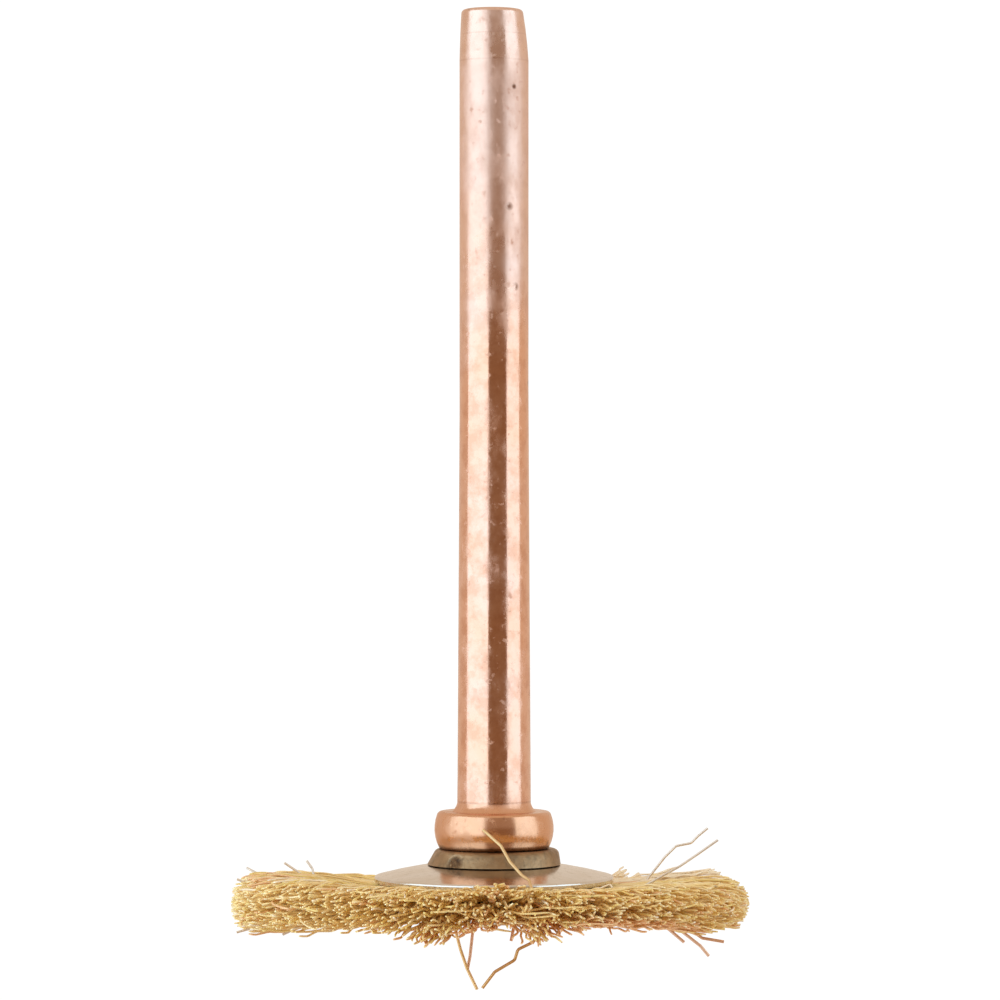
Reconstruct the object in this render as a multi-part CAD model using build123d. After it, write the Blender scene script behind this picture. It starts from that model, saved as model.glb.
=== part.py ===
"""Small brass wire wheel brush on a copper-plated mandrel, for a rotary tool.

A cold-headed steel mandrel carries a washer, a domed flange, the wires and a flat flange. Its lower end is
peened over the flat flange, so the whole stack is clamped for good and turns as one piece. The crimped wires
are folded over a steel core ring that lies between the flanges. Each folded bundle fills one sector of the
wheel. A few wires have worked loose and stand out of it.

Millimetres, +Z up along the mandrel. The origin is on the mandrel's axis, on the surface that the brush
stands on when the tips of its lowest loose wires touch that surface.
"""

from build123d import *
from math import cos, degrees, isclose, pi, sin, sqrt
import os

OUT = "parts"

# Mandrel
SHANK_R = 3.0 / 2  # parallel stretch that the tool's collet grips
SHANK_ROOT_R = 3.2 / 2  # the shank swells a little towards the collar, from the draft of the heading die
TOP_Z = 41.92
GRIP_TOP_Z = 39.72  # where the taper at the free end begins
GRIP_FOOT_Z = 25.5
LEAD_IN = ((1.05, 1.44, -0.03), (2.20, 1.33, -0.085))  # height, radius and X of the taper's sections
TIP_ROUND = 0.18
ROOT_H = 0.36  # small flare between shank and collar
ROOT_R = 1.83
ROOT_SAG = 0.03  # how far the flare is hollowed below a straight cone
COLLAR_R = 2.59
COLLAR_SHOULDER_R = 2.42
COLLAR_FOOT_R = 2.36
COLLAR_ROUNDS = (0.20, 0.12)  # at its shoulder and its foot
COLLAR_TOP_Z = 7.08
COLLAR_BELLY = 0.46  # height of the widest point, as a share of the collar's own height
TENON_R = 1.05
HEAD_R = 1.80  # peened head under the flat flange
HEAD_H = 0.32
HEAD_BULGE = (0.93, 0.55)  # a point of the head's rounded edge, as shares of HEAD_R and HEAD_H
HEAD_FLAT_R = 1.15  # flat middle of the head

# Washer under the collar, punched at a slant, so its top is smaller and off centre
WASHER_R = 2.90
WASHER_H = 0.67
WASHER_TOP_R = 2.66
WASHER_TOP_X = 0.14
WASHER_ROUND = 0.26

# Flanges
FLANGE_R = 5.20
SHEET = 0.32
RIM_ROUND = 0.11
DOME_R = 20.0  # outer radius of the domed flange
LAND_R = 2.60  # flat land at the dome's centre
RIM_Z = 3.93  # underside of the domed flange's rim
CLAMP_H = 1.04  # from the flat flange up to that rim
HOLE_CLEARANCE = 0.02

# Core ring
RING_R = 2.50
RING_WIRE_R = 0.35
RING_Z = 3.66

# Wire bundles
BUNDLES = 24
BUNDLE_IN_R = 1.30
BUNDLE_GAP = 0.03  # between neighbouring bundles, and to the metal round them
WHEEL_R = 11.05
TIP_ROUND_R = 0.50
TIP_MID_Z = 3.10
TIP_THICK = 2.66
WHEEL_LEAN = 0.72  # at its tips the wheel is this much lower at +Y and higher at -Y
THIN_ENDS = 1.00  # and this much thinner there

# Loose wires
WIRE_R = 0.065
FINE_WIRE_R = 0.052
FINE_WIRES = ("left_", "right_high", "right_low")  # how the names of the finer loose wires start
BEND_R = 0.22

DOME_Z = RIM_Z - sqrt((DOME_R - SHEET) ** 2 - FLANGE_R**2)  # centre of the dome's sphere
LAND_Z = DOME_Z + sqrt(DOME_R**2 - LAND_R**2)
COLLAR_FOOT_Z = LAND_Z + WASHER_H
FLAT_TOP_Z = RIM_Z - CLAMP_H
FLAT_FOOT_Z = FLAT_TOP_Z - SHEET

# Loose wires, each a list of points from its root in the wheel to its tip.
STRAYS = {
    "over_flange": [
        (1.72, -6.50, 3.75), (1.50, -5.60, 4.52), (1.19, -5.20, 4.70),
        (0.68, -4.70, 5.23), (0.30, -4.30, 5.88), (-0.47, -3.80, 6.53),
    ],
    "right_high": [
        (6.45, 1.20, 3.70), (7.47, 1.05, 5.00), (7.95, 1.00, 5.48),
        (8.61, 1.00, 5.61), (8.91, 0.95, 5.92), (9.33, 0.90, 6.27),
    ],
    "right_low": [(6.55, -1.20, 3.95), (8.05, -1.05, 4.77), (8.83, -1.00, 5.29), (9.69, -0.95, 5.89)],
    "vee_left": [(-1.75, -7.20, 3.10), (-1.39, -7.00, 1.72), (-1.13, -7.00, 0.96), (-0.70, -7.00, 0.06)],
    "vee_inner": [(-0.82, -6.60, 3.05), (-1.00, -6.75, 1.43), (-1.10, -6.80, 0.92)],
    "vee_right": [
        (2.25, -7.20, 3.05), (1.66, -7.05, 2.06), (1.01, -7.00, 1.74),
        (0.88, -7.00, 1.30), (0.04, -7.00, 0.80), (-0.48, -7.00, 0.12),
    ],
    "front_stub": [(0.88, -8.85, 3.10), (0.72, -9.00, 2.29)],
    "right_under_long": [(7.62, -3.95, 2.52), (8.80, -4.00, 1.60), (9.16, -4.00, 1.17)],
    "right_under_flat": [(8.25, -2.95, 2.32), (8.91, -3.00, 1.84), (9.85, -3.00, 1.68)],
    "right_under_short": [(7.32, -4.95, 2.48), (8.07, -5.00, 1.85)],
    "left_top_outer": [(-9.95, 1.00, 4.08), (-10.82, 1.10, 4.52)],
    "left_top_end": [(-10.60, -1.00, 4.00), (-11.11, -1.10, 4.20)],
    "left_top_mid": [(-8.20, 0.85, 4.12), (-9.16, 0.95, 4.75)],
    "left_top_inner": [(-7.82, 0.70, 3.98), (-7.93, 0.78, 4.51), (-8.18, 0.85, 4.85)],
    "left_under_end": [(-10.55, -1.18, 2.07), (-11.12, -1.25, 1.92)],
    "left_under_mid": [(-8.50, -1.95, 2.16), (-9.10, -2.00, 1.89)],
}


def profile_face(*edges):
    """A face from edges drawn in the XZ plane, where X is the radius."""
    return Face(Wire(edges))


def lines(*points):
    """Straight edges through (radius, height) points."""
    at = [Vector(r, 0, z) for r, z in points]
    return [Line(a, b) for a, b in zip(at, at[1:])]


def arc(start, middle, end):
    """A circular edge through three (radius, height) points."""
    return ThreePointArc(*[Vector(r, 0, z) for r, z in (start, middle, end)])


def turned(face, angle=360):
    return revolve(face, axis=Axis.Z, revolution_arc=angle)


def dome_point(r, depth=0.0):
    """A point on the dome's outer surface, or depth below it along the sphere's radius."""
    return r, DOME_Z + sqrt((DOME_R - depth) ** 2 - r**2)


def bored(blank):
    """The blank with the hole that the tenon goes through."""
    return blank - Cylinder(TENON_R + HOLE_CLEARANCE, 2 * TOP_Z)


def lead_in():
    """The taper at the shank's free end, ground a little off centre, with a rounded rim."""
    sections = [(0, SHANK_R, 0), *LEAD_IN]
    rings = [(Pos(x, 0, GRIP_TOP_Z + z) * Circle(r)).face() for z, r, x in sections]
    taper = loft(rings)
    return fillet(taper.edges().sort_by(Axis.Z)[-1], TIP_ROUND)


def mandrel():
    """Shank, root flare, collar, tenon and peened head, all one piece of steel."""
    shank_foot, root = (SHANK_ROOT_R, COLLAR_TOP_Z + ROOT_H), (ROOT_R, COLLAR_TOP_Z)
    hollow = ((shank_foot[0] + root[0]) / 2 - ROOT_SAG, (shank_foot[1] + root[1]) / 2 - ROOT_SAG)
    shoulder, foot = (COLLAR_SHOULDER_R, COLLAR_TOP_Z), (COLLAR_FOOT_R, COLLAR_FOOT_Z)
    belly = (COLLAR_R, COLLAR_FOOT_Z + COLLAR_BELLY * (COLLAR_TOP_Z - COLLAR_FOOT_Z))
    head_rim = (HEAD_R, FLAT_FOOT_Z)
    head_side = (HEAD_BULGE[0] * HEAD_R, FLAT_FOOT_Z - HEAD_BULGE[1] * HEAD_H)
    head_flat = (HEAD_FLAT_R, FLAT_FOOT_Z - HEAD_H)
    edges = [
        *lines((0, GRIP_TOP_Z), (SHANK_R, GRIP_TOP_Z), (SHANK_R, GRIP_FOOT_Z), shank_foot),
        arc(shank_foot, hollow, root),
        *lines(root, shoulder),
        arc(shoulder, belly, foot),
        *lines(foot, (TENON_R, COLLAR_FOOT_Z), (TENON_R, FLAT_FOOT_Z), head_rim),
        arc(head_rim, head_side, head_flat),
        *lines(head_flat, (0, head_flat[1]), (0, GRIP_TOP_Z)),
    ]
    face = profile_face(*edges)
    for (r, z), radius in zip((shoulder, foot), COLLAR_ROUNDS):
        face = fillet(face.vertices().sort_by_distance(Vector(r, 0, z))[0], radius)
    return turned(face) + lead_in()


def washer():
    foot = Pos(0, 0, LAND_Z) * Circle(WASHER_R)
    top = Pos(WASHER_TOP_X, 0, LAND_Z + WASHER_H) * Circle(WASHER_TOP_R)
    blank = loft([foot.face(), top.face()])
    return bored(fillet(blank.edges().group_by(Axis.Z)[-1], WASHER_ROUND))


def domed_flange():
    """A pressed disc: a flat land round the hole, then a shallow dome down to the rim."""
    middle_r = (LAND_R + FLANGE_R) / 2
    land_over, land_under = dome_point(LAND_R), dome_point(LAND_R, SHEET)
    rim_over, rim_under = dome_point(FLANGE_R), (FLANGE_R, RIM_Z)
    edges = [
        *lines((0, LAND_Z), land_over),
        arc(land_over, dome_point(middle_r), rim_over),
        *lines(rim_over, rim_under),
        arc(rim_under, dome_point(middle_r, SHEET), land_under),
        *lines(land_under, (0, land_under[1]), (0, LAND_Z)),
    ]
    disc = turned(profile_face(*edges))
    circles = disc.edges().filter_by(GeomType.CIRCLE)
    rim = circles.filter_by(lambda edge: isclose(edge.radius, FLANGE_R, rel_tol=1e-6))
    return bored(fillet(rim, RIM_ROUND))


def flat_flange():
    disc = Pos(0, 0, FLAT_FOOT_Z) * Cylinder(FLANGE_R, SHEET, align=(Align.CENTER, Align.CENTER, Align.MIN))
    rim = disc.edges().filter_by(GeomType.CIRCLE)
    return bored(fillet(rim, RIM_ROUND))


def core_ring():
    return Pos(0, 0, RING_Z) * Torus(RING_R, RING_WIRE_R)


def tip_heights(angle):
    """Lowest and highest point of the wire tips at an angle round the wheel."""
    across = sin(angle)
    middle = TIP_MID_Z - WHEEL_LEAN * across + 0.05 * sin(5 * angle + 0.7)
    thick = TIP_THICK - THIN_ENDS * abs(across) + 0.08 * sin(7 * angle)
    return middle - thick / 2, middle + thick / 2


def tip_radius(angle):
    return WHEEL_R - 0.16 * cos(angle) + 0.10 * sin(4 * angle + 1.1)


def wire_bundle(angle):
    """One sector of folded wires, open round the core ring, flared and rounded at its tips."""
    low, high = tip_heights(angle)
    tip = tip_radius(angle)
    skin = SHEET + BUNDLE_GAP
    rim, land = dome_point(FLANGE_R, skin), dome_point(LAND_R, skin)
    floor_z = FLAT_TOP_Z + BUNDLE_GAP
    outline = [
        *lines((BUNDLE_IN_R, floor_z), (BUNDLE_IN_R, land[1]), land),
        arc(land, dome_point((LAND_R + FLANGE_R) / 2, skin), rim),
        *lines(rim, (tip, high), (tip, low), (FLANGE_R, floor_z), (BUNDLE_IN_R, floor_z)),
    ]
    face = profile_face(*outline)
    face = fillet(face.vertices().group_by(Axis.X)[-1], TIP_ROUND_R)
    face -= Plane.XZ * Pos(RING_R, RING_Z) * Circle(RING_WIRE_R + BUNDLE_GAP)
    spread = 360 / BUNDLES - degrees(BUNDLE_GAP / WHEEL_R)
    return Rot(0, 0, degrees(angle) - spread / 2) * turned(face, spread)


def loose_wire(points, radius):
    """A round wire along straight runs with a small bend at each point between them."""
    at = [Vector(*p) for p in points]
    path = FilletPolyline(*at, radius=BEND_R) if len(at) > 2 else Line(*at)
    section = Plane(origin=path @ 0, z_dir=path % 0) * Circle(radius)
    return sweep(section, path=path)


def nodes():
    """Every node's shape, by name."""
    made = {
        "mandrel": mandrel(),
        "washer": washer(),
        "domed_flange": domed_flange(),
        "flat_flange": flat_flange(),
        "core_ring": core_ring(),
    }
    for i in range(BUNDLES):
        made[f"wire_bundle_{i + 1:02d}"] = wire_bundle(2 * pi * i / BUNDLES)
    for name, points in STRAYS.items():
        radius = FINE_WIRE_R if name.startswith(FINE_WIRES) else WIRE_R
        made[f"loose_wire_{name}"] = loose_wire(points, radius)
    return made


os.makedirs(OUT, exist_ok=True)
for name, shape in nodes().items():
    export_step(shape, f"{OUT}/{name}.step")
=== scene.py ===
"""The looks of a small brass wire wheel brush on a copper-plated mandrel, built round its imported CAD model.

The metal parts and the loose wires keep their CAD shape and get detailed materials. Each wire bundle's plain
solid is replaced by real crimped wires, folded over the core ring and flared out to the wheel's rim.
"""

import math

import bpy
import numpy as np
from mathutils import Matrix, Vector


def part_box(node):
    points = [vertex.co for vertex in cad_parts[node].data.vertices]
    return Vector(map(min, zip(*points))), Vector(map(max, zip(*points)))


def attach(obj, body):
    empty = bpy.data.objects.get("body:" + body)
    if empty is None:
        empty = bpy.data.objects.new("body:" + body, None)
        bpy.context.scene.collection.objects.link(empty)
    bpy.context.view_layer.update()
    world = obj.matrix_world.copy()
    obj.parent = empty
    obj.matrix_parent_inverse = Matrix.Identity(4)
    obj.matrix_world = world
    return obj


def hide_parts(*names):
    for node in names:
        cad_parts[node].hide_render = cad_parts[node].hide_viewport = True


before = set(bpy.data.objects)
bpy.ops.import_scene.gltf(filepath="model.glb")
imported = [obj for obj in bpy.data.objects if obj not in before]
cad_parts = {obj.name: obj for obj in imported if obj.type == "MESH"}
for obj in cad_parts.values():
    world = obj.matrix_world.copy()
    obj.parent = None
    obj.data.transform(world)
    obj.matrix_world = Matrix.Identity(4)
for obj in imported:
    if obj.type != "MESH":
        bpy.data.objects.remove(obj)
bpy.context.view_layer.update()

MM = 0.001
SEED = 41

# Wires, in metres. Each is a hairpin, folded over the core ring, with an upper and a lower leg.
# A leg's layer u goes from 0 in the middle of the wheel to 1 at its top or -1 at its underside.
BUNDLES = 24
HAIRPINS = 72  # in one bundle, with twice as many tips
WIRE_R = 0.046 * MM
WIRE_R_VARIATION = (0.92, 1.10)
WIRE_END_TAPER = 0.72
WIRE_SIDES = 6
LEG_POINTS = 36  # along the free part of each leg
CLAMPED_POINTS = 4
FOLD_POINTS = 5
FOLD_GAP = 0.08 * MM  # between the core ring and the innermost wires folded over it
FOLD_DEPTH = 0.30 * MM  # from those to the outermost ones
RIM_INSET = 0.15 * MM  # how far inside the flange's rim the free part of a leg starts
CLAMP_FILL = 0.36  # how far from the middle of the gap between the flanges the outermost legs leave it
CRIMP_LENGTH = (0.95 * MM, 1.7 * MM)
CRIMP_HEIGHT = (0.06 * MM, 0.14 * MM)
CRIMP_GROWTH = 2.4 * MM  # beyond the flange, until the crimp has its full height
CRIMP_AT_FLANGE = 0.12  # share of its height that the crimp has there
CALM = 0.55  # how much flatter the outermost layers lie
UPPER_FLARE = (1.10, 2.4)  # how early the wires spread beyond the flanges, and how much earlier at +Y
LOWER_FLARE = 1.7
HUMP = 0.42 * MM  # how far the upper wires arch up between the flange and their tips at -X
TANGLE = 0.13 * MM  # slow wandering of each wire to its sides
TANGLE_UP = 0.55  # wandering up and down, as a share of that
BEND = 0.30 * MM  # how far the tips are bent sideways
STRONG_BEND = (0.06, 3)  # share of wires that are bent more, and how many times as much
SWEPT = (0.012, 0.06)  # share of wires whose ends are swept sideways, and how much more at SWEPT_DIRECTION
SWEPT_DIRECTION = -52  # degrees round the wheel
SWEEP = (1.4 * MM, 3.4 * MM)
SAG = 0.06 * MM  # how far the tips hang below the CAD solids
TIP_REACH = 0.16 * MM  # how far the longest tips reach beyond the CAD solids
TIP_SPREAD = 0.75 * MM  # how much shorter the wires at the wheel's upper and lower corners are
TIP_SCATTER = 0.06  # radians round the wheel
TIP_UNEVENNESS = 0.16 * MM  # how unevenly the tips are cut
SHORT_SHARE = 0.05  # of the wires
SHORT_BY = (0.3 * MM, 1.4 * MM)

ORANGE_DIRECTION = -72  # degrees round the wheel; the lowest wires are painted orange on this side, a painted reflection of warm light from below
ORANGE_SHARE = 0.85  # of the wires there
TUFTS = (
    # direction and half width in degrees round the wheel, upper (1) or lower (-1) wires, rise,
    # how much the wires are drawn together, and whether they are pale
    (-105.0, 8.5, -1, -0.74 * MM, 0.25, False),
    (-80.5, 3.4, -1, -0.74 * MM, 0.35, False),
    (-123.0, 7.0, -1, -0.24 * MM, 0.0, False),
    (-74.0, 4.0, -1, -0.32 * MM, 0.0, False),
    (-141.0, 3.0, -1, -0.16 * MM, 0.35, False),
    (-30.0, 5.0, -1, -0.20 * MM, 0.35, False),
    (-8.0, 14.0, -1, 0.16 * MM, 0.0, False),
    (182.0, 20.0, -1, 0.12 * MM, 0.0, False),
    (0.0, 40.0, 1, -0.22 * MM, 0.0, False),
    (-90.0, 50.0, 1, -0.04 * MM, 0.0, False),
    (-88.0, 9.0, 1, 0.32 * MM, 0.0, False),
    (52.5, 3.4, 1, 0.66 * MM, 0.50, True),
    (40.0, 3.8, 1, 0.50 * MM, 0.45, True),
    (20.0, 6.0, 1, 0.32 * MM, 0.40, True),
)

# Studio, in metres
PICTURE_WIDTH = 1000  # pixels
SCALE_AT_OBJECT = 23000  # pixels per metre at the mandrel
CAMERA_DISTANCE = 0.200
CAMERA_HEIGHT = 20.6 * MM
CAMERA_SIDE = 0.26 * MM
SENSOR_WIDTH = 36.0  # millimetres, as Blender takes it
PANEL_DISTANCE = 0.34
PANEL_STEPS = 16
TABLE_R = 0.085
TABLE_MIDDLE = (0.045, 0.020, -0.030)
DOME_R = 1.5
WHITE = (1.0, 1.0, 1.0)
WHITE_GLOW = 1.05  # just enough for pure white in the picture

rng = np.random.default_rng(SEED)


# ---------------------------------------------------------------- sizes from the frame

def corner(node, which, axis):
    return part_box(node)[which][axis]


FLANGE_R = corner("domed_flange", 1, 0)
CLAMP_TOP = corner("domed_flange", 0, 2)
CLAMP_FLOOR = corner("flat_flange", 1, 2)
RING_WIRE_R = (corner("core_ring", 1, 2) - corner("core_ring", 0, 2)) / 2
RING_Z = (corner("core_ring", 1, 2) + corner("core_ring", 0, 2)) / 2
RING_R = corner("core_ring", 1, 0) - RING_WIRE_R
WASHER_TOP = corner("washer", 1, 2)
COLLAR_TOP = WASHER_TOP + 1.65 * MM
MANDREL_TOP = corner("mandrel", 1, 2)
LEAD_IN_Z = MANDREL_TOP - 2.25 * MM  # where the taper of the shank's free end starts
PIT_AT = (0.87 * MM, -1.22 * MM, MANDREL_TOP - 3.45 * MM)
WORN_FROM, WORN_TO = 26 * MM, 35 * MM  # heights between which the shank turns from bright to worn


# ---------------------------------------------------------------- materials

class Nodes:
    """A small helper that adds shader nodes to one material and links them."""

    def __init__(self, name):
        self.material = bpy.data.materials.new(name)
        self.material.use_nodes = True
        self.tree = self.material.node_tree
        self.shader = next(n for n in self.tree.nodes if n.type == "BSDF_PRINCIPLED")
        self.place = self.add("ShaderNodeTexCoord").outputs["Object"]

    def add(self, kind, inputs=None, **settings):
        node = self.tree.nodes.new(kind)
        for key, value in settings.items():
            setattr(node, key, value)
        for key, value in (inputs or {}).items():
            self.put(node.inputs[key], value)
        return node

    def put(self, socket, value):
        if isinstance(value, bpy.types.NodeSocket):
            self.tree.links.new(value, socket)
        else:
            socket.default_value = value

    def stretched(self, scale):
        return self.add("ShaderNodeMapping", {"Vector": self.place, "Scale": scale}).outputs["Vector"]

    def noise(self, per_mm, detail=4.0, roughness=0.55, stretch=(1, 1, 1)):
        scale = tuple(s * per_mm / MM for s in stretch)
        texture = self.add(
            "ShaderNodeTexNoise",
            {"Vector": self.stretched(scale), "Scale": 1.0, "Detail": detail, "Roughness": roughness},
        )
        return texture.outputs["Fac"]

    def spots(self, per_mm, size):
        """1 inside small round spots about 1 / per_mm millimetres apart, and 0 outside."""
        scale = (per_mm / MM,) * 3
        texture = self.add("ShaderNodeTexVoronoi", {"Vector": self.stretched(scale), "Scale": 1.0})
        return self.ramp(texture.outputs["Distance"], size, size * 0.4)

    def ramp(self, value, low, high, to_low=0.0, to_high=1.0):
        """Takes low to to_low and high to to_high in a straight line, and clamps."""
        return self.add(
            "ShaderNodeMapRange",
            {"Value": value, "From Min": low, "From Max": high, "To Min": to_low, "To Max": to_high},
        ).outputs["Result"]

    def math(self, operation, a, b):
        return self.add("ShaderNodeMath", {0: a, 1: b}, operation=operation).outputs[0]

    def mix(self, factor, a, b):
        node = self.add("ShaderNodeMix", data_type="RGBA")
        self.put(node.inputs["Factor"], factor)
        self.put(node.inputs["A"], a)
        self.put(node.inputs["B"], b)
        return node.outputs["Result"]

    def height(self):
        return self.add("ShaderNodeSeparateXYZ", {"Vector": self.place}).outputs["Z"]

    def near(self, point, radius):
        """1 at a point of the object, falling to 0 at a radius from it."""
        offset = self.add("ShaderNodeVectorMath", {0: self.place, 1: point}, operation="DISTANCE")
        return self.ramp(offset.outputs["Value"], radius, radius * 0.35)

    def ring(self, level, half_width):
        """1 at a height of the object, falling to 0 just above and below it."""
        away = self.math("ABSOLUTE", self.math("SUBTRACT", self.height(), level), 0.0)
        return self.ramp(away, half_width, half_width * 0.3)

    def bump(self, height, depth):
        """A bump whose height of 1 stands for a depth in metres."""
        node = self.add("ShaderNodeBump", {"Height": height, "Distance": depth, "Strength": 1.0})
        self.put(self.shader.inputs["Normal"], node.outputs["Normal"])

    def finish(self, **inputs):
        for key, value in inputs.items():
            self.put(self.shader.inputs[key.replace("_", " ")], value)
        return self.material


def rgb(red, green, blue):
    return (red, green, blue, 1.0)


def copper():
    """Bright copper plating, worn dull and pale where collets gripped it and tarnished on the collar.

    It also has smudges, specks, fine drawing streaks, a few dark pits and faint rings from the lathe, and a
    painted contact shadow where the collar's foot meets the washer.
    """
    n = Nodes("copper_plating")
    blotches = n.noise(0.28, detail=3)
    mottle = n.noise(1.3, detail=7, roughness=0.66)
    smudges = n.ramp(n.noise(0.8, detail=6, roughness=0.68, stretch=(1, 1, 0.55)), 0.48, 0.64)
    specks = n.noise(3.4, detail=2)
    streaks = n.noise(5.0, detail=3, stretch=(1, 1, 0.06))
    pits = n.math("MULTIPLY", n.spots(0.55, 0.13), n.ramp(mottle, 0.50, 0.60))
    pits = n.math("MAXIMUM", pits, n.near(PIT_AT, 0.14 * MM))
    rings = n.math("MAXIMUM", n.ring(LEAD_IN_Z, 0.05 * MM), n.ring(LEAD_IN_Z + 1.15 * MM, 0.04 * MM))
    rings = n.math("MAXIMUM", n.math("MULTIPLY", rings, 0.5), n.ring(COLLAR_TOP + 0.40 * MM, 0.06 * MM))
    rings = n.math("MULTIPLY", rings, n.ramp(mottle, 0.40, 0.56, 0.25, 1.0))
    ragged_height = n.math("ADD", n.height(), n.ramp(blotches, 0.3, 0.7, -2.5 * MM, 2.5 * MM))
    worn = n.ramp(ragged_height, WORN_FROM, WORN_TO)
    tip = n.ramp(n.height(), LEAD_IN_Z - 1.0 * MM, LEAD_IN_Z + 0.5 * MM)
    forged = n.ramp(n.height(), COLLAR_TOP + 0.5 * MM, COLLAR_TOP)
    # painted shadow: the copper turns dark brown just above the washer, in the gap under the collar's foot
    foot_shadow = n.math("ADD", n.height(), n.ramp(mottle, 0.3, 0.7, -0.06 * MM, 0.06 * MM))
    foot_shadow = n.ramp(foot_shadow, WASHER_TOP + 0.24 * MM, WASHER_TOP + 0.10 * MM)
    base = n.mix(n.ramp(blotches, 0.35, 0.65), rgb(0.81, 0.46, 0.305), rgb(0.82, 0.52, 0.395))
    base = n.mix(n.ramp(mottle, 0.44, 0.62, 0, 0.50), base, rgb(0.60, 0.28, 0.155))
    base = n.mix(n.math("MULTIPLY", worn, 0.55), base, rgb(0.78, 0.60, 0.51))
    base = n.mix(n.math("MULTIPLY", forged, 0.75), base, rgb(0.71, 0.38, 0.21))
    base = n.mix(n.math("MULTIPLY", rings, 0.50), base, rgb(0.45, 0.23, 0.15))
    base = n.mix(n.math("MULTIPLY", foot_shadow, 0.85), base, rgb(0.16, 0.07, 0.035))
    base = n.mix(pits, base, rgb(0.22, 0.10, 0.06))
    rough = n.math("ADD", n.ramp(blotches, 0.35, 0.65, 0.11, 0.16), n.math("MULTIPLY", smudges, 0.20))
    rough = n.math("ADD", rough, n.ramp(specks, 0.60, 0.72, 0, 0.25))
    rough = n.math("ADD", rough, n.math("MULTIPLY", worn, 0.26))
    rough = n.math("SUBTRACT", rough, n.math("MULTIPLY", tip, 0.17))
    rough = n.math("ADD", rough, n.math("MULTIPLY", forged, 0.07))
    relief = n.math("ADD", n.math("MULTIPLY", mottle, 0.5), n.math("MULTIPLY", streaks, 0.3))
    relief = n.math("SUBTRACT", relief, n.math("MAXIMUM", pits, n.math("MULTIPLY", rings, 0.6)))
    n.bump(relief, 0.007 * MM)
    return n.finish(Base_Color=base, Metallic=1.0, Roughness=rough)


def nickel():
    """Nickel plating on the flanges, still glossy, with warm stains and fine turning marks."""
    n = Nodes("nickel_plating")
    stains = n.noise(0.45, detail=4)
    grain = n.noise(3.0, detail=5, roughness=0.6)
    base = n.mix(n.ramp(stains, 0.38, 0.66), rgb(0.74, 0.70, 0.65), rgb(0.67, 0.60, 0.51))
    base = n.mix(n.ramp(grain, 0.55, 0.75, 0, 0.35), base, rgb(0.47, 0.40, 0.31))
    n.bump(grain, 0.004 * MM)
    return n.finish(Base_Color=base, Metallic=1.0, Roughness=n.ramp(grain, 0.3, 0.7, 0.12, 0.25))


def washer_steel():
    """The washer's duller, pitted face, with one nick at its edge, painted near black as the shade inside the
    dent.
    """
    n = Nodes("washer_plating")
    grain = n.noise(2.6, detail=6, roughness=0.7)
    stains = n.noise(0.8, detail=3)
    low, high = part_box("washer")
    middle, radius = (low + high) / 2, high.x
    nick_at = (-0.60 * radius, -0.79 * radius, middle.z - 0.12 * MM)
    nick_and_shade = n.math("MULTIPLY", n.near(nick_at, 0.46 * MM), n.ramp(grain, 0.35, 0.55))
    base = n.mix(n.ramp(stains, 0.35, 0.65), rgb(0.42, 0.28, 0.155), rgb(0.29, 0.18, 0.09))
    base = n.mix(n.ramp(grain, 0.48, 0.68, 0, 0.75), base, rgb(0.20, 0.15, 0.09))
    # painted shade: the nick is painted near black where its dent lies in shadow; the dent itself is the bump
    # below
    base = n.mix(nick_and_shade, base, rgb(0.05, 0.035, 0.03))
    n.bump(n.math("SUBTRACT", grain, n.math("MULTIPLY", nick_and_shade, 2.0)), 0.05 * MM)
    return n.finish(Base_Color=base, Metallic=1.0, Roughness=n.ramp(grain, 0.3, 0.7, 0.28, 0.50))


def ring_steel():
    n = Nodes("drawn_steel")
    lines = n.noise(5.0, detail=3)
    base = n.mix(n.ramp(lines, 0.4, 0.6), rgb(0.46, 0.45, 0.43), rgb(0.34, 0.32, 0.30))
    n.bump(lines, 0.005 * MM)
    return n.finish(Base_Color=base, Metallic=1.0, Roughness=n.ramp(lines, 0.3, 0.7, 0.30, 0.45))


def wire_brass(name, color, roughness):
    """One shade of drawn brass wire. Its roughness and its drawn skin vary along the wire."""
    n = Nodes(name)
    skin = n.noise(20.0, detail=3)
    n.bump(skin, 0.0015 * MM)
    rough = n.ramp(skin, 0.3, 0.7, roughness - 0.08, roughness + 0.08)
    return n.finish(Base_Color=rgb(*color), Metallic=0.38, Roughness=rough)


def loose_wire_brass(name, clean, tarnished):
    """Brass of the loose wires, with tarnish in patches along them."""
    n = Nodes(name)
    patches = n.noise(1.1, detail=3)
    skin = n.noise(20.0, detail=3)
    base = n.mix(n.ramp(patches, 0.38, 0.62), rgb(*clean), rgb(*tarnished))
    n.bump(skin, 0.001 * MM)
    return n.finish(Base_Color=base, Metallic=0.8, Roughness=n.ramp(skin, 0.3, 0.7, 0.34, 0.46))


WIRE_SHADES = (
    # name, base colour, roughness, share
    ("brass_bright", (1.00, 0.82, 0.46), 0.43, 0.28),
    ("brass_gold", (1.00, 0.77, 0.35), 0.52, 0.38),
    ("brass_olive", (0.94, 0.73, 0.28), 0.56, 0.18),
    ("brass_dull", (0.86, 0.63, 0.27), 0.58, 0.07),
    ("brass_orange", (0.96, 0.62, 0.32), 0.48, 0.04),
    ("brass_pale", (1.00, 0.86, 0.62), 0.50, 0.03),
)
SHADE_NAMES = [row[0] for row in WIRE_SHADES]
ORANGE, PALE = SHADE_NAMES.index("brass_orange"), SHADE_NAMES.index("brass_pale")


# ---------------------------------------------------------------- wires

def tip_region(bundle):
    """Lowest and highest point of a CAD bundle's tips, and their radius."""
    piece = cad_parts[f"wire_bundle_{bundle + 1:02d}"]
    points = np.array([piece.matrix_world @ vertex.co for vertex in piece.data.vertices])
    radius = np.hypot(points[:, 0], points[:, 1])
    tips = points[radius > radius.max() - TIP_SPREAD]
    return tips[:, 2].min(), tips[:, 2].max(), radius.max()


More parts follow.
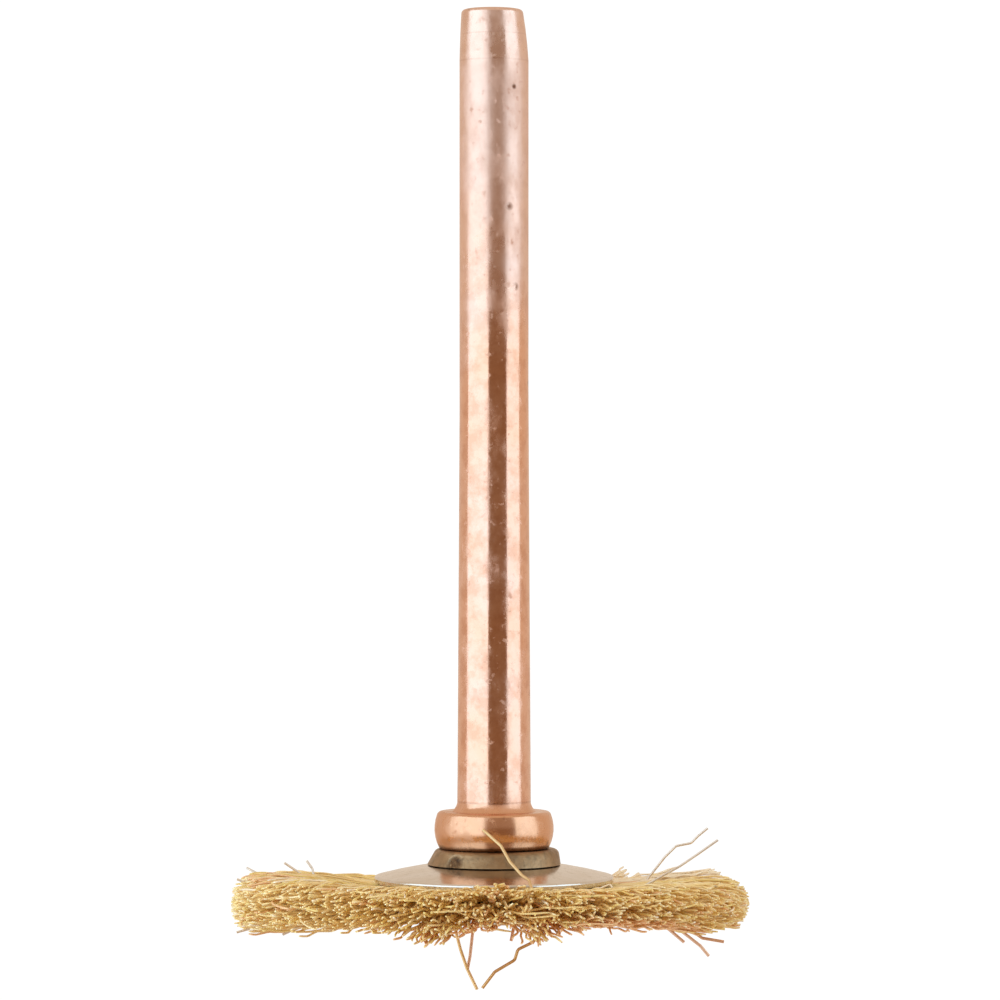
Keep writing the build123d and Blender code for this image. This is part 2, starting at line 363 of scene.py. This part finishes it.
def wander(s, count, size):
    """A slow random wave along each wire. It starts from nothing at the flange's rim, where s is 0."""
    wave = np.zeros((count, s.size))
    for cycles in (1.2, 2.3):
        phase = rng.uniform(0, 2 * math.pi, (count, 1))
        wave += rng.normal(0, size / cycles, (count, 1)) * np.sin(2 * math.pi * cycles * s + phase)
    return wave * np.clip(1.8 * s, 0, 1) ** 2


def crimp(r):
    """Zigzag offsets across and up, along wires whose points have the radii r."""
    count = len(r)
    length = rng.uniform(*CRIMP_LENGTH, (count, 1))
    growth = np.clip((r - FLANGE_R) / CRIMP_GROWTH, CRIMP_AT_FLANGE, 1)
    height = rng.uniform(*CRIMP_HEIGHT, (count, 1)) * growth
    phase = rng.uniform(0, 2 * math.pi, (count, 1))
    roll = rng.uniform(0, math.pi, (count, 1))
    drift = rng.normal(0, 0.35, (count, 1)) * np.sin(2 * math.pi * r / (3.7 * MM) + phase)
    wave = np.arcsin(0.96 * np.sin(2 * math.pi * r / length + phase + drift)) * (2 / math.pi) * height
    return wave * np.cos(roll), wave * np.sin(roll)


def pull_into_tufts(side, u, tip_angle):
    """Draws tips into the wheel's tufts.

    Gives the tips' new directions, how far each rises, and which wires are pale.
    """
    pale, lift = np.zeros(len(u), bool), np.zeros(len(u))
    for direction, half_width, tuft_side, rise, gather, is_pale in TUFTS:
        if tuft_side != side:
            continue
        away = (tip_angle - math.radians(direction) + math.pi) % (2 * math.pi) - math.pi
        pull = np.exp(-((away / math.radians(half_width)) ** 2)) * np.clip(2.2 * np.abs(u), 0, 1)
        lift = lift + rise * pull
        tip_angle = tip_angle - gather * away * pull
        pale |= is_pale & (pull > 0.35)
    return tip_angle, lift, pale


def pick_shades(u, tip_angle, pale):
    """A shade for each leg: mostly orange in the lowest layer on the front of the wheel, a painted reflection
    of warm light from below.
    """
    shares = np.array([row[3] for row in WIRE_SHADES])
    shades = rng.choice(len(WIRE_SHADES), len(u), p=shares / shares.sum())
    front = np.clip((np.cos(tip_angle - math.radians(ORANGE_DIRECTION)) - 0.70) / 0.15, 0, 1)
    lowest = np.clip((-u - 0.5) / 0.3, 0, 1)
    # painted reflection: the lowest legs on the front of the wheel are given the orange shade
    shades[rng.random(len(u)) < ORANGE_SHARE * front * lowest] = ORANGE
    shades[pale] = PALE
    return shades


def legs(bundle, angle, side):
    """The upper (1) or lower (-1) legs of one bundle's wires.

    Gives radius, direction and height of each leg's points, from the core ring out, how far each leg
    lies from the middle of the ring's wire, and its shade.
    """
    low, high, wheel_r = tip_region(bundle)
    count = len(angle)
    u = side * rng.uniform(0, 1, count)
    tip_z = (low + high) / 2 - SAG + u * (high - low) / 2
    tip_angle = angle + rng.normal(0, TIP_SCATTER, count)
    tip_angle, lift, pale = pull_into_tufts(side, u, tip_angle)
    tip_r = wheel_r + TIP_REACH - TIP_SPREAD * np.abs(u) ** 3 - np.abs(rng.normal(0, TIP_UNEVENNESS, count))
    tip_r -= (rng.random(count) < SHORT_SHARE) * rng.uniform(*SHORT_BY, count)

    # swept wires reach out early and then bend round the wheel, most of them within about 30 degrees
    near_swept = np.clip((np.cos(angle - math.radians(SWEPT_DIRECTION)) - 0.85) / 0.1, 0, 1) * (side > 0)
    swept = (rng.random(count) < SWEPT[0] + SWEPT[1] * near_swept)[:, None]
    sweep = swept * rng.uniform(*SWEEP, (count, 1)) * rng.choice((-1, 1), (count, 1))

    # the free part: s is 0 at the flange's rim and 1 at the tip
    s = np.linspace(0, 1, LEG_POINTS)[None, :]
    rim_r = FLANGE_R - RIM_INSET
    out = np.where(swept, 1 - (1 - s) ** 1.7, s)
    start_z = CLAMP_FLOOR + (CLAMP_TOP - CLAMP_FLOOR) * (0.5 + CLAMP_FILL * u[:, None])
    direction = 2 * math.pi * bundle / BUNDLES
    back, left = max(0.0, math.sin(direction)), max(0.0, -math.cos(direction))
    flare = UPPER_FLARE[0] + UPPER_FLARE[1] * back if side > 0 else LOWER_FLARE
    r = rim_r + (tip_r[:, None] - rim_r) * out
    z = start_z + (tip_z[:, None] - start_z) * (1 - (1 - s) ** flare)
    z = z + HUMP * left * np.clip(u[:, None], 0, 1) * 4 * s**2 * (1 - s)
    calm = 1 - CALM * np.abs(u[:, None]) ** 3
    z = z + calm * wander(s, count, TANGLE_UP * TANGLE) + lift[:, None] * s**2.5
    strong_share, stronger = STRONG_BEND
    bend = rng.normal(0, BEND, (count, 1)) * np.where(rng.random((count, 1)) < strong_share, stronger, 1)
    across = bend * s**2 + sweep * s**4 + wander(s, count, TANGLE)
    crimp_across, crimp_up = crimp(r)
    crimp_up = calm * crimp_up
    turn = angle[:, None] + (tip_angle - angle)[:, None] * s + (across + crimp_across) / r

    # the clamped part: s is 0 at the core ring and 1 at the flange's rim
    s = np.linspace(0, 1, CLAMPED_POINTS, endpoint=False)[None, :]
    layer = RING_WIRE_R + FOLD_GAP + FOLD_DEPTH * np.abs(u)[:, None]
    ring_z = RING_Z + side * layer
    r = np.hstack([RING_R + (r[:, :1] - RING_R) * s, r])
    z = np.hstack([ring_z + (start_z - ring_z) * s, z + crimp_up])
    turn = np.hstack([np.repeat(angle[:, None], CLAMPED_POINTS, 1), turn])
    return r, turn, z, layer, pick_shades(u, tip_angle, pale)


def hairpins(bundle):
    """One bundle's folded wires.

    Gives their middle lines from upper to lower tip, their directions, and the shades of their two legs.
    """
    width = 2 * math.pi / BUNDLES
    slots = np.arange(HAIRPINS) + rng.uniform(0.1, 0.9, HAIRPINS) - HAIRPINS / 2
    angle = bundle * width + slots * width / HAIRPINS
    upper_r, upper_turn, upper_z, upper_layer, upper_shade = legs(bundle, angle, 1)
    lower_r, lower_turn, lower_z, lower_layer, lower_shade = legs(bundle, angle, -1)
    # the fold passes round the inner side of the core ring
    f = np.linspace(0, math.pi, FOLD_POINTS + 2)[None, 1:-1]
    layer = upper_layer + (lower_layer - upper_layer) * f / math.pi
    r = np.hstack([upper_r[:, ::-1], RING_R - layer * np.sin(f), lower_r])
    turn = np.hstack([upper_turn[:, ::-1], np.repeat(angle[:, None], FOLD_POINTS, 1), lower_turn])
    z = np.hstack([upper_z[:, ::-1], RING_Z + layer * np.cos(f), lower_z])
    paths = np.stack([r * np.cos(turn), r * np.sin(turn), z], axis=2)
    return paths, angle, (upper_shade, lower_shade)


def tube_mesh(name, paths, across, radius, sides, shades):
    """One mesh of round wires, whose across is a direction that none of their points runs along.

    The first half of each wire has its shade from shades[0] and the second half from shades[1].
    """
    count, points = paths.shape[:2]
    along = np.gradient(paths, axis=1)
    along /= np.linalg.norm(along, axis=2, keepdims=True)
    across = np.repeat(across[:, None, :], points, 1)
    first = across - along * np.sum(across * along, axis=2, keepdims=True)
    first /= np.linalg.norm(first, axis=2, keepdims=True)
    second = np.cross(along, first)
    turn = np.linspace(0, 2 * math.pi, sides, endpoint=False)[None, None, :, None]
    taper = np.ones(points)
    taper[[0, -1]] = WIRE_END_TAPER
    radius = (radius[:, None] * taper[None, :])[:, :, None, None]
    rings = paths[:, :, None, :] + radius * (
        np.cos(turn) * first[:, :, None, :] + np.sin(turn) * second[:, :, None, :]
    )
    vertices = rings.reshape(-1, 3)

    wire, ring, side = np.meshgrid(np.arange(count), np.arange(points - 1), np.arange(sides), indexing="ij")
    here = (wire * points + ring) * sides
    after = (side + 1) % sides
    quads = np.stack([here + side, here + after, here + sides + after, here + sides + side], axis=3)
    quads = quads.reshape(-1, 4)
    start = np.arange(count)[:, None] * points * sides
    caps = np.concatenate(
        [start + np.arange(sides)[::-1][None, :], start + (points - 1) * sides + np.arange(sides)[None, :]]
    )

    mesh = bpy.data.meshes.new(name)
    mesh.from_pydata(vertices.tolist(), [], quads.tolist() + caps.tolist())
    half = points // 2
    shade = np.where(ring < half, shades[0][wire], shades[1][wire]).reshape(-1)
    indices = np.concatenate([shade, shades[0], shades[1]]).astype(np.int32)
    mesh.polygons.foreach_set("material_index", indices)
    smooth = np.concatenate([np.ones(len(quads), bool), np.zeros(len(caps), bool)])
    mesh.polygons.foreach_set("use_smooth", smooth)
    mesh.update()
    return mesh


def make_bundle(bundle, materials):
    node = f"wire_bundle_{bundle + 1:02d}"
    paths, angle, shades = hairpins(bundle)
    across = np.stack([-np.sin(angle), np.cos(angle), np.zeros_like(angle)], axis=1)
    radius = WIRE_R * rng.uniform(*WIRE_R_VARIATION, HAIRPINS)
    mesh = tube_mesh(f"crimped_wires_{bundle + 1:02d}", paths, across, radius, WIRE_SIDES, shades)
    for material in materials:
        mesh.materials.append(material)
    piece = bpy.data.objects.new(mesh.name, mesh)
    bpy.context.scene.collection.objects.link(piece)
    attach(piece, "root")
    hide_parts(node)


def dress_cad_nodes():
    """Gives each CAD node its material, found by how the node's name starts."""
    plated = nickel()
    golden = loose_wire_brass("loose_brass_gold", (0.84, 0.62, 0.33), (0.75, 0.51, 0.25))
    amber = loose_wire_brass("loose_brass_amber", (0.82, 0.52, 0.22), (0.70, 0.40, 0.14))
    coppery = loose_wire_brass("loose_brass_orange", (0.84, 0.50, 0.31), (0.72, 0.40, 0.22))
    peach = loose_wire_brass("loose_brass_peach", (0.92, 0.62, 0.42), (0.83, 0.51, 0.32))
    pale = loose_wire_brass("loose_brass_pale", (0.94, 0.90, 0.82), (0.86, 0.79, 0.68))
    by_start = {
        "mandrel": copper(),
        "domed_flange": plated,
        "flat_flange": plated,
        "washer": washer_steel(),
        "core_ring": ring_steel(),
        "loose_wire_over_flange": golden,
        "loose_wire_left": pale,
        "loose_wire_right_high": pale,
        "loose_wire_right_low": pale,
        "loose_wire_right_under": peach,
        # painted shade: the V wires hanging under the wheel get darker amber and copper brass
        "loose_wire_vee_left": amber,
        "loose_wire_vee_right": amber,
        "loose_wire_vee_inner": coppery,
        "loose_wire_front_stub": coppery,
    }
    for name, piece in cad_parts.items():
        for start, material in by_start.items():
            if name.startswith(start):
                piece.data.materials.clear()
                piece.data.materials.append(material)


# ---------------------------------------------------------------- studio

def emitter(name, color, strength):
    material = bpy.data.materials.new(name)
    material.use_nodes = True
    tree = material.node_tree
    tree.nodes.clear()
    glow = tree.nodes.new("ShaderNodeEmission")
    glow.inputs["Color"].default_value = (*color, 1.0)
    glow.inputs["Strength"].default_value = strength
    output = tree.nodes.new("ShaderNodeOutputMaterial")
    tree.links.new(glow.outputs["Emission"], output.inputs["Surface"])
    return material


ALL_BUT_CAMERA = ("diffuse", "glossy", "transmission", "shadow", "volume_scatter")


def hide_from(ob, *rays):
    for ray in rays:
        setattr(ob, f"visible_{ray}", False)


def panel(name, azimuth, spread, low, high, material):
    """A glowing patch of a sphere round the object that the camera doesn't see.

    Its azimuth, spread, low and high edge are in degrees, and azimuth 0 is towards the camera.
    """
    corners = []
    for e in np.radians(np.linspace(low, high, PANEL_STEPS + 1)):
        for a in np.radians(np.linspace(azimuth - spread / 2, azimuth + spread / 2, PANEL_STEPS + 1)):
            direction = Vector((math.sin(a) * math.cos(e), -math.cos(a) * math.cos(e), math.sin(e)))
            corners.append(PANEL_DISTANCE * direction)
    row = PANEL_STEPS + 1
    faces = [(i, i + 1, i + row + 1, i + row) for i in range(PANEL_STEPS * row) if i % row < PANEL_STEPS]
    mesh = bpy.data.meshes.new(name)
    mesh.from_pydata(corners, [], faces)
    mesh.materials.append(material)
    ob = bpy.data.objects.new(name, mesh)
    bpy.context.scene.collection.objects.link(ob)
    hide_from(ob, "camera")


def add_floor():
    """A white floor for the picture only, and the brown table top that the metal reflects from below."""
    bpy.ops.mesh.primitive_circle_add(vertices=96, radius=DOME_R * 0.98, fill_type="NGON")
    floor = bpy.context.object
    floor.name = "floor"
    floor.data.materials.append(emitter("white_floor", WHITE, WHITE_GLOW))
    hide_from(floor, *ALL_BUT_CAMERA)
    bpy.ops.mesh.primitive_circle_add(vertices=64, radius=TABLE_R, fill_type="NGON", location=TABLE_MIDDLE)
    table = bpy.context.object
    table.name = "table"
    table.data.materials.append(emitter("brown_table", (1.0, 0.64, 0.36), 0.58))
    hide_from(table, "camera")


def add_backdrop():
    """A white dome for the picture only."""
    bpy.ops.mesh.primitive_uv_sphere_add(segments=48, ring_count=24, radius=DOME_R)
    dome = bpy.context.object
    dome.name = "backdrop"
    dome.data.materials.append(emitter("white_backdrop", WHITE, WHITE_GLOW))
    hide_from(dome, *ALL_BUT_CAMERA)


def light_studio():
    """A warm surround, a softbox on each side, and two dark cards that the shank mirrors in its middle."""
    scene = bpy.context.scene
    world = bpy.data.worlds.new("studio")
    scene.world = world
    world.use_nodes = True
    background = world.node_tree.nodes["Background"]
    background.inputs["Color"].default_value = rgb(1.0, 0.83, 0.67)
    background.inputs["Strength"].default_value = 0.80
    panel("softbox_left", -57.5, 77, -60, 42, emitter("glow_left", (0.80, 0.95, 1.10), 1.90))
    panel("softbox_right", 68, 50, -40, 42, emitter("glow_right", (0.80, 0.95, 1.10), 1.78))
    panel("card_front", 12.5, 60, -30, 9.5, emitter("dark_card", (1.0, 0.60, 0.34), 0.29))
    panel("card_above", 12.5, 60, 9.5, 36, emitter("brown_card", (1.0, 0.76, 0.60), 0.45))
    scene.view_settings.view_transform = "Standard"


def add_camera():
    data = bpy.data.cameras.new("camera")
    data.sensor_width = SENSOR_WIDTH
    data.lens = SENSOR_WIDTH * CAMERA_DISTANCE * SCALE_AT_OBJECT / PICTURE_WIDTH
    data.clip_start, data.clip_end = 0.01, 4.0
    camera = bpy.data.objects.new("camera", data)
    bpy.context.scene.collection.objects.link(camera)
    camera.location = (CAMERA_SIDE, -CAMERA_DISTANCE, CAMERA_HEIGHT)
    camera.rotation_euler = (math.pi / 2, 0, 0)
    bpy.context.scene.camera = camera


# ---------------------------------------------------------------- making

add_camera()
light_studio()
add_floor()
add_backdrop()
dress_cad_nodes()
shade_materials = [wire_brass(*row[:3]) for row in WIRE_SHADES]
for bundle_index in range(BUNDLES):
    make_bundle(bundle_index, shade_materials)
